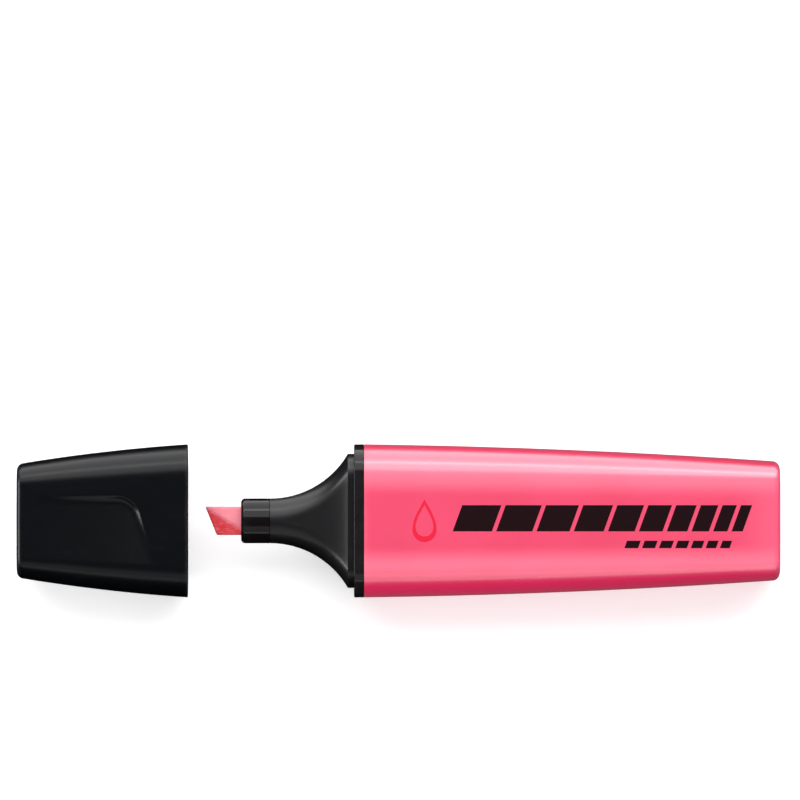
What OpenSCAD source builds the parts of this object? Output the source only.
// Flat highlighter pen with a pull-off cap.
//
// A tapered barrel is plugged by a black front section, which holds a chisel nib in a
// small sleeve. Inside, the nib's tail reaches into a fibre ink reservoir wrapped in
// film. The cap has a thumb recess on both flat faces and a seal tube for the nib.
//
// Each piece is drawn from the collar's front face: +X runs along the barrel to its
// closed end, -X to the nib, Y is the pen's width and Z its thickness. The cap is drawn
// from its own mouth. at_pen() and at_cap() then place them: the pen lies on a flat
// face at Z = 0, with the cap pulled off the nib and the whole centred on the origin.

/* [Overall] */
// Width across the collar, the widest place
body_w = 27; // [24:0.1:33]
// Thickness between the two flat faces
body_t = 17; // [14:0.1:21]
// Width of the flat faces at the collar
flat_w = 16; // [12:0.1:18]
// Fullness of the rounded sides, where 2 is an ellipse
side_power = 2.3; // [2:0.05:3]
// Rounding of the collar's and the mouths' edges
edge_r = 0.2; // [0.1:0.05:0.4]

/* [Barrel] */
// Length from the collar to the closed end
barrel_l = 73.2; // [60:0.1:90]
// Width at the closed end
barrel_end_w = 20.9; // [19:0.1:26]
// Width of the flat faces at the closed end
barrel_end_flat_w = 14.6; // [10:0.1:16]
// Straight part of the taper, where 1 is a straight side and 0 a fully bowed one
barrel_bow = 0.31; // [0:0.01:1]
// Wall of the barrel
barrel_wall = 1.4; // [1:0.05:1.8]
// Thickness of the closed end
barrel_end_wall = 1.6; // [1:0.05:3]
// Rounding round the closed end
barrel_corner_r = 1.2; // [0.4:0.05:1.6]
// Thickness of the ribs inside the barrel
rib_t = 1.0; // [0.6:0.1:1.6]
// Distance of the upper and lower ribs from the middle
rib_y = 4.2; // [2:0.1:5]

/* [Front section] */
// Length of the collar between the cap and the barrel
collar_l = 1.8; // [1:0.1:3]
// Length of the land that the cap's mouth slides over
land_l = 1.1; // [0.8:0.1:3]
// Length of the trumpet-shaped grip
trumpet_l = 13.7; // [12.5:0.1:18]
// Length of the spigot pushed into the barrel
spigot_l = 8; // [5:0.1:12]
// Wall of the spigot
spigot_wall = 1.0; // [0.8:0.05:1.4]
// Length of the bore that holds the nib sleeve
bore_l = 8.5; // [7:0.1:9]

/* [Nib] */
// Width of the nib
nib_w = 5; // [4:0.1:6]
// Thickness of the nib
nib_t = 3.6; // [2.6:0.1:4.4]
// Length of the nib in front of its sleeve, at the long point
nib_out = 6.3; // [5:0.1:8]
// Slant of the writing edge
nib_slant = 22; // [10:1:35]
// Slope of the bevels that thin the nib towards its writing edge
bevel_slope = 20; // [8:1:26]
// Turn of the bevel's edge from the nib's length
bevel_turn = 32; // [20:1:45]
// Start of the bevel's edge behind the long point
bevel_back = 0.6; // [0.3:0.1:2]
// Length of the nib inside the reservoir
tail_l = 8; // [6:0.1:14]
// Length of the tapered end of the tail
tail_taper_l = 4; // [2:0.1:5]
// Width at the tail's end
tail_end_w = 2.4; // [1:0.1:3.5]

/* [Nib sleeve] */
// Length of the sleeve in front of the trumpet
sleeve_l = 5.1; // [4:0.1:8]
// Length of the sleeve's tail inside the bore
sleeve_tail_l = 5; // [3:0.1:6.5]
// Wall of the sleeve over the nib's corners
sleeve_wall = 0.87; // [0.8:0.01:1.4]
// Step from the sleeve's head down to its tail
sleeve_step = 0.45; // [0.3:0.05:0.5]
// Rounding of the sleeve's front corner
sleeve_corner_r = 0.7; // [0.2:0.05:0.8]
// Radius of the two air grooves beside the nib
vent_r = 0.5; // [0.3:0.05:0.6]

/* [Reservoir] */
// Length of the fibre core
core_l = 58; // [40:0.5:60]
// Start of the core behind the collar
core_front = 0.2; // [0.1:0.1:4]
// Thickness of the film round the core
film_t = 0.2; // [0.1:0.05:0.4]
// Height of the ribs at the barrel's sides, where the core ends
side_rib_h = 1.1; // [0.6:0.1:2.5]

/* [Cap] */
// Width at the cap's closed end
cap_end_w = 20; // [19:0.1:26]
// Width of the flat faces at the closed end
cap_end_flat_w = 12.4; // [9:0.1:15]
// Straight part of the taper, where 1 is a straight side and 0 a fully bowed one
cap_bow = 0.565; // [0:0.01:1]
// Wall of the cap
cap_wall = 1.5; // [1.1:0.05:1.9]
// Thickness of the closed end
cap_end_wall = 1.5; // [1:0.05:3]
// Rounding round the closed end
cap_corner_r = 1.0; // [0.4:0.05:1.4]
// Free room in front of the nib's point when the cap is on
tip_room = 1.3; // [0.6:0.1:4]

/* [Thumb recess] */
// Depth under the recess's steep front edge
recess_d = 1.0; // [0.4:0.05:1.1]
// Distance of the steep edge's corner from the cap's mouth
recess_front = 9.3; // [8:0.1:14]
// Height of the recess's long edge above the middle
recess_y = 4.4; // [2:0.1:5]
// Lean of the steep edge from square
recess_lean = 17.5; // [0:0.5:30]
// Radius of the corner between the two edges
recess_r = 3; // [1:0.1:4]
// Width of the slope down into the recess
recess_slope_w = 1.5; // [1:0.1:3]
// Flat stretch left between the recess and the closed end
recess_end_gap = 3.5; // [2.5:0.1:8]

/* [Cap seal] */
// Wall of the seal tube
seal_wall = 0.6; // [0.5:0.05:1]
// Thickness of the seal's closed end
seal_base = 1.1; // [0.6:0.1:2]
// Free room between the seal and the cap's flat walls at the closed end
seal_room = 0.4; // [0.3:0.05:1]
// Distance of the seal's mouth in front of the trumpet when the cap is on
seal_lead = 0.5; // [0.4:0.1:1.5]

/* [Fits] */
// Gap left between the cap's mouth and the collar when the cap is on
seat_gap = 0.05; // [0.02:0.01:0.2]
// Gap between the land and the inside of the cap's mouth
land_gap = 0.1; // [0.05:0.01:0.2]
// Gap between the spigot and the barrel
spigot_gap = 0.05; // [0.02:0.01:0.1]
// Gap between the sleeve's tail and its bore
sleeve_gap = 0.05; // [0.02:0.01:0.1]
// Gap between the seal and the sleeve's head
seal_gap = 0.1; // [0.05:0.01:0.2]
// Gap round the seal's base plate
plate_gap = 0.05; // [0.02:0.01:0.1]
// Gap round the nib
nib_gap = 0.05; // [0.02:0.01:0.1]
// Gap round the reservoir
core_gap = 0.15; // [0.1:0.01:0.3]
// Gap between the film and the core
film_gap = 0.02; // [0.01:0.01:0.05]

/* [Rest pose] */
// Distance from the nib's long point to the mouth of the pulled-off cap
rest_gap = 3.1; // [0:0.1:40]

/* [Hidden] */
$fn = 64;
cut = 0.1;

side_steps = 6;          // facets on a quarter of a rounded side
corner_steps = 4;        // facets round a closed end's corner
barrel_steps = 14;       // stretches along the barrel
trumpet_steps = 14;      // stretches along the trumpet
cap_steps = 24;          // stretches along the cap's outside
cap_inner_steps = 12;    // stretches along the cap's inside
recess_steps = 16;       // stretches across the cap's flat faces
round_gap = 6;           // half the angle of the chord that stands for a flat on a round section

front_l = land_l + trumpet_l;
pen_end = collar_l + barrel_l;
sleeve_front = front_l + sleeve_l;
nib_reach = sleeve_front + nib_out;
nib_half_diagonal = norm([nib_w, nib_t]) / 2;
sleeve_r = nib_half_diagonal + sleeve_wall;
tail_r = sleeve_r - sleeve_step;
bore_r = tail_r + sleeve_gap;
seal_bore_r = sleeve_r + seal_gap;
seal_r = seal_bore_r + seal_wall;

cap_l = nib_reach + tip_room + seal_base + cap_end_wall;
cap_end_t = 2 * (seal_r + seal_room + cap_wall);
cap_floor = cap_l - cap_end_wall;
cap_off = nib_reach + rest_gap;
recess_back = cap_l - recess_end_gap;

core_start = collar_l + core_front;
core_end = core_start + core_l;
core_t = body_t - 2 * (barrel_wall + spigot_gap + spigot_wall + core_gap + film_t + film_gap);
core_w = 2 * (barrel_half_w(core_end) - barrel_wall - side_rib_h - core_gap - film_t - film_gap);

// Share of a taper that is done at part s of its length
function taper(s, bow) = bow * s + (1 - bow) * s * s;
function mix(a, b, s) = a + (b - a) * s;
function clamp(s) = max(0, min(1, s));
function ease(s) = let (c = clamp(s)) c * c * (3 - 2 * c);

// Half width, and half the flat face, of the barrel at x
function barrel_part(x) = (x - collar_l) / barrel_l;
function barrel_half_w(x) = mix(body_w, barrel_end_w, taper(barrel_part(x), barrel_bow)) / 2;
function barrel_half_flat(x) = mix(flat_w, barrel_end_flat_w, barrel_part(x)) / 2;

// Half width, half thickness and half the flat face of the cap at v from its mouth
function cap_half_w(v) = mix(body_w, cap_end_w, taper(v / cap_l, cap_bow)) / 2;
function cap_half_t(v) = mix(body_t, cap_end_t, taper(v / cap_l, cap_bow)) / 2;
function cap_half_flat(v) = mix(flat_w, cap_end_flat_w, v / cap_l) / 2;

// One ring of the pen's section: rounded sides of half width a and half thickness b
// beyond a flat of half width f, split into steps. chord trims the sides' ends, so that
// a ring with no flat, which is round, still has one short side there.
function side_of(x, a, b, f, power, chord, dir) = [
    for (k = [-side_steps : side_steps])
    let (t = (90 - chord) * k / side_steps * dir)
    [x, dir * (f + (a - f) * pow(cos(t), 2 / power)), b * sign(t) * pow(abs(sin(t)), 2 / power)]
];
function flat_of(x, b, f, steps, dir) = [
    for (k = [1 : 1 : steps - 1])
    [x, dir * f * (1 - 2 * k / steps), dir * b]
];
function ring(x, a, b, f, power = side_power, chord = 0, steps = 1) = concat(
    side_of(x, a, b, f, power, chord, 1),
    flat_of(x, b, f, steps, 1),
    side_of(x, a, b, f, power, chord, -1),
    flat_of(x, b, f, steps, -1)
);

// A solid through rings, from one at its +X-facing end to one at its -X-facing end
module loft(rings) {
    n = len(rings[0]);
    last = (len(rings) - 1) * n;
    walls = [
        for (i = [0 : len(rings) - 2], k = [0 : n - 1])
        let (a = i * n + k, b = i * n + (k + 1) % n)
        each [[a, b, b + n], [a, b + n, a + n]]
    ];
    from_side = [for (k = [0 : n - 1]) (k + side_steps) % n];
    ends = [[for (k = [n - 1 : -1 : 0]) from_side[k]], [for (k = from_side) last + k]];
    polyhedron([for (r = rings) each r], concat(walls, ends));
}

// ---------------------------------------------------------------- placing

pen_x = (cap_off + cap_l - pen_end) / 2;

module at_pen() {
    translate([pen_x, 0, body_t / 2]) children();
}

module at_cap() {
    translate([pen_x - cap_off, 0, body_t / 2]) children();
}

// ---------------------------------------------------------------- barrel

function barrel_ring(x, inset) =
    ring(x, barrel_half_w(x) - inset, body_t / 2 - inset, barrel_half_flat(x));

barrel_rings = concat(
    [
        for (k = [0 : corner_steps])
        let (t = 90 * k / corner_steps)
        barrel_ring(pen_end - barrel_corner_r * (1 - cos(t)), barrel_corner_r * (1 - sin(t)))
    ],
    [
        for (k = [1 : barrel_steps])
        barrel_ring(mix(pen_end - barrel_corner_r, collar_l + edge_r, k / barrel_steps), 0)
    ],
    [barrel_ring(collar_l, edge_r)],
    [
        for (k = [0 : barrel_steps])
        barrel_ring(mix(collar_l, pen_end - barrel_end_wall, k / barrel_steps), barrel_wall)
    ]
);

core_half_w = core_w / 2 + film_gap + film_t + core_gap;
core_half_t = core_t / 2 + film_gap + film_t + core_gap;
rib_front = collar_l + spigot_l + core_gap;
rib_root = barrel_wall / 2;

// A rib that follows the barrel's tapering side and keeps the reservoir in the middle
module side_rib() {
    far = [
        for (k = [0 : barrel_steps])
        let (x = mix(core_end, rib_front, k / barrel_steps))
        [x, barrel_half_w(x) - rib_root]
    ];
    linear_extrude(rib_t, center = true)
        polygon(concat([[rib_front, core_half_w], [core_end, core_half_w]], far));
}

// A rib on a flat wall
module flat_rib() {
    reach = body_t / 2 - rib_root - core_half_t;
    translate([rib_front, rib_y - rib_t / 2, core_half_t])
        cube([core_end - rib_front, rib_t, reach]);
}

// A fin on the end wall that stops the reservoir
module end_fin() {
    fin_front = core_end + core_gap;
    height = body_t - 2 * rib_root;
    translate([fin_front, rib_y - rib_t / 2, -height / 2])
        cube([pen_end - barrel_end_wall / 2 - fin_front, rib_t, height]);
}

module barrel() {
    color([0.96, 0.33, 0.46]) at_pen() union() {
        loft(barrel_rings);
        for (turn = [0, 180]) rotate([turn, 0, 0]) {
            side_rib();
            flat_rib();
            mirror([0, 1, 0]) flat_rib();
            end_fin();
        }
    }
}

// ---------------------------------------------------------------- front section

land_half_w = cap_half_w(land_l) - cap_wall - land_gap;
land_half_t = cap_half_t(land_l) - cap_wall - land_gap;
shoulder_r = bore_r + 0.5;
bore_end = bore_l - front_l;

// The trumpet is an arc that leaves the sleeve level and meets the land
trumpet_rise = land_half_w - sleeve_r;
trumpet_r = (trumpet_l * trumpet_l + trumpet_rise * trumpet_rise) / (2 * trumpet_rise);
function trumpet_half_w(x) =
    let (d = x + front_l) sleeve_r + trumpet_r - sqrt(trumpet_r * trumpet_r - d * d);
function trumpet_part(x) = (trumpet_half_w(x) - sleeve_r) / trumpet_rise;
function trumpet_ring(x) =
    let (s = trumpet_part(x))
    ring(x, trumpet_half_w(x), mix(sleeve_r, land_half_t, s), mix(0, flat_w / 2, s),
        mix(2, side_power, s), mix(round_gap, 0, s));

function spigot_ring(x, inset) = barrel_ring(x, barrel_wall + spigot_gap + inset);
function collar_ring(x, inset) = ring(x, body_w / 2 - inset, body_t / 2 - inset, flat_w / 2);
function land_ring(x, inset) = ring(x, land_half_w - inset, land_half_t - inset, flat_w / 2);

spigot_end = collar_l + spigot_l;
front_rings = concat(
    [
        ring(bore_end, shoulder_r, shoulder_r, 0, 2, round_gap),
        spigot_ring(collar_l, spigot_wall),
        spigot_ring(spigot_end, spigot_wall),
        spigot_ring(spigot_end, edge_r),
        spigot_ring(spigot_end - edge_r, 0),
        spigot_ring(collar_l, 0),
        collar_ring(collar_l, edge_r),
        collar_ring(collar_l - edge_r, 0),
        collar_ring(edge_r, 0),
        collar_ring(0, edge_r),
        land_ring(0, 0)
    ],
    [
        for (k = [0 : trumpet_steps])
        trumpet_ring(mix(-land_l, -front_l, k / trumpet_steps))
    ]
);

module front_section() {
    color([0.1, 0.1, 0.11]) at_pen() difference() {
        loft(front_rings);
        translate([-front_l - cut, 0, 0]) rotate([0, 90, 0]) cylinder(r = bore_r, h = bore_l + 2 * cut);
    }
}

// ---------------------------------------------------------------- nib

tail_end = core_start + tail_l;

// Outline of the nib seen on its broad face, grown by gap for the pockets that hold it
module nib_outline(gap) {
    half_w = nib_w / 2 + gap;
    half_end = tail_end_w / 2 + gap;
    polygon([
        [-nib_reach, half_w],
        [tail_end - tail_taper_l, half_w],
        [tail_end + gap, half_end],
        [tail_end + gap, -half_end],
        [tail_end - tail_taper_l, -half_w],
        [-nib_reach + nib_w * tan(nib_slant), -half_w]
    ]);
}

module nib_blank(gap) {
    linear_extrude(nib_t + 2 * gap, center = true) nib_outline(gap);
}

// What the bevel takes off one broad face
module nib_bevel() {
    reach = 3 * nib_out;
    translate([-nib_reach + bevel_back, nib_w / 2, nib_t / 2])
        rotate([0, 0, -bevel_turn])
        rotate([bevel_slope, 0, 0])
        translate([-reach / 2, -reach, 0])
        cube([reach, reach, nib_t]);
}

module nib() {
    color([0.95, 0.3, 0.4]) at_pen() difference() {
        nib_blank(0);
        nib_bevel();
        mirror([0, 0, 1]) nib_bevel();
    }
}

// ---------------------------------------------------------------- nib sleeve

module nib_sleeve() {
    head = sleeve_l - sleeve_corner_r;
    color([0.06, 0.06, 0.07]) at_pen() difference() {
        translate([-front_l, 0, 0]) rotate([0, 90, 0]) rotate_extrude() union() {
            translate([0, -head]) square([sleeve_r, head]);
            translate([0, -sleeve_l]) square([sleeve_r - sleeve_corner_r, sleeve_l]);
            translate([0, -cut]) square([tail_r, sleeve_tail_l + cut]);
            intersection() {
                translate([sleeve_r - sleeve_corner_r, -head]) circle(sleeve_corner_r);
                translate([0, -sleeve_l]) square([sleeve_r, sleeve_l]);
            }
        }
        nib_slot_l = sleeve_l + sleeve_tail_l + 2 * cut;
        translate([-sleeve_front - cut, 0, 0]) {
            translate([0, -nib_w / 2 - nib_gap, -nib_t / 2 - nib_gap])
                cube([nib_slot_l, nib_w + 2 * nib_gap, nib_t + 2 * nib_gap]);
            for (side = [-1, 1])
                translate([0, 0, side * (nib_t / 2 + nib_gap)])
                rotate([0, 90, 0])
                cylinder(r = vent_r, h = nib_slot_l);
        }
    }
}

// ---------------------------------------------------------------- reservoir

// A slab with round sides, seen along X
module stadium(w, t) {
    square([w - t, t], center = true);
    for (side = [-1, 1]) translate([side * (w - t) / 2, 0]) circle(d = t);
}

module along_pen(length) {
    translate([core_start, 0, 0]) rotate([90, 0, 90]) linear_extrude(length) children();
}

module reservoir_core() {
    color([0.93, 0.45, 0.55]) at_pen() difference() {
        along_pen(core_l) stadium(core_w, core_t);
        nib_blank(nib_gap);
    }
}

module reservoir_wrap() {
    inner_w = core_w + 2 * film_gap;
    inner_t = core_t + 2 * film_gap;
    color([0.9, 0.9, 0.92]) at_pen() along_pen(core_l) difference() {
        stadium(inner_w + 2 * film_t, inner_t + 2 * film_t);
        stadium(inner_w, inner_t);
    }
}

// ---------------------------------------------------------------- cap

// How far a point lies inside the recess's two edges, which meet in a round corner
function recess_inside(v, y) =
    let (
        below = recess_y - y,
        behind = (v - recess_front + below * tan(recess_lean)) * cos(recess_lean),
        corner = [max(0, recess_r - below), max(0, recess_r - behind)]
    )
    min(min(below, behind), recess_r - norm(corner));

// The recess is deepest at its two edges' corner and runs out to the end and the low side
function recess_fade(v) = clamp((recess_back - v) / (recess_back - recess_front));
function recess_depth(v, y) =
    let (
        left = 1 - clamp(recess_inside(v, y) / recess_slope_w),
        low = (y + cap_half_flat(v)) / (cap_half_flat(v) + recess_y)
    )
    recess_d * (1 - left * left) * recess_fade(v) * clamp(low);

// The point on the other flat face is found half a turn round the pen
function recessed(p, v) =
    let (facing = sign(p[2]), flat = abs(p[1]) < cap_half_flat(v) && abs(p[2]) > cap_half_t(v) - cut)
    flat ? [p[0], p[1], p[2] - facing * recess_depth(v, facing * p[1])] : p;

function cap_ring(v, inset) =
    ring(-v, cap_half_w(v) - inset, cap_half_t(v) - inset, cap_half_flat(v), steps = recess_steps);
function cap_outer_ring(v) = [for (p = cap_ring(v, 0)) recessed(p, v)];

// Behind its mouth the inside is lower by the recess's depth, which keeps the wall whole
function cap_inner_ring(v) =
    let (
        start = ease((v - land_l - 1) / (recess_front - recess_slope_w - land_l - 1)),
        lower = recess_d * start * recess_fade(max(v, recess_front))
    )
    ring(-v, cap_half_w(v) - cap_wall, cap_half_t(v) - cap_wall - lower, cap_half_flat(v),
        steps = recess_steps);

cap_rings = concat(
    [for (k = [0 : cap_inner_steps]) cap_inner_ring(mix(cap_floor, land_l, k / cap_inner_steps))],
    [cap_inner_ring(0)],
    [cap_ring(0, edge_r)],
    [
        for (k = [0 : cap_steps])
        cap_outer_ring(mix(edge_r, cap_l - cap_corner_r, k / cap_steps))
    ],
    [
        for (k = [1 : corner_steps])
        let (t = 90 * k / corner_steps)
        cap_ring(cap_l - cap_corner_r * (1 - sin(t)), cap_corner_r * (1 - cos(t)))
    ]
);

module cap_shell() {
    color([0.1, 0.1, 0.11]) at_cap() loft(cap_rings);
}

// A tube on a base plate that fills the cap's closed end
module cap_seal() {
    seal_l = cap_floor - front_l - seal_lead;
    lip = seal_wall / 2;
    plate_w = 2 * (cap_half_w(cap_floor) - cap_wall - plate_gap);
    plate_t = 2 * (seal_r + seal_room - plate_gap);
    color([0.25, 0.25, 0.27]) at_cap() translate([-cap_floor, 0, 0]) union() {
        rotate([90, 0, 90]) linear_extrude(seal_base) stadium(plate_w, plate_t);
        rotate([0, 90, 0]) rotate_extrude() polygon([
            [seal_bore_r, seal_base / 2],
            [seal_r, seal_base / 2],
            [seal_r, seal_l],
            [seal_bore_r + lip, seal_l],
            [seal_bore_r, seal_l - lip]
        ]);
    }
}

barrel();
front_section();
nib_sleeve();
nib();
reservoir_core();
reservoir_wrap();
cap_shell();
cap_seal();
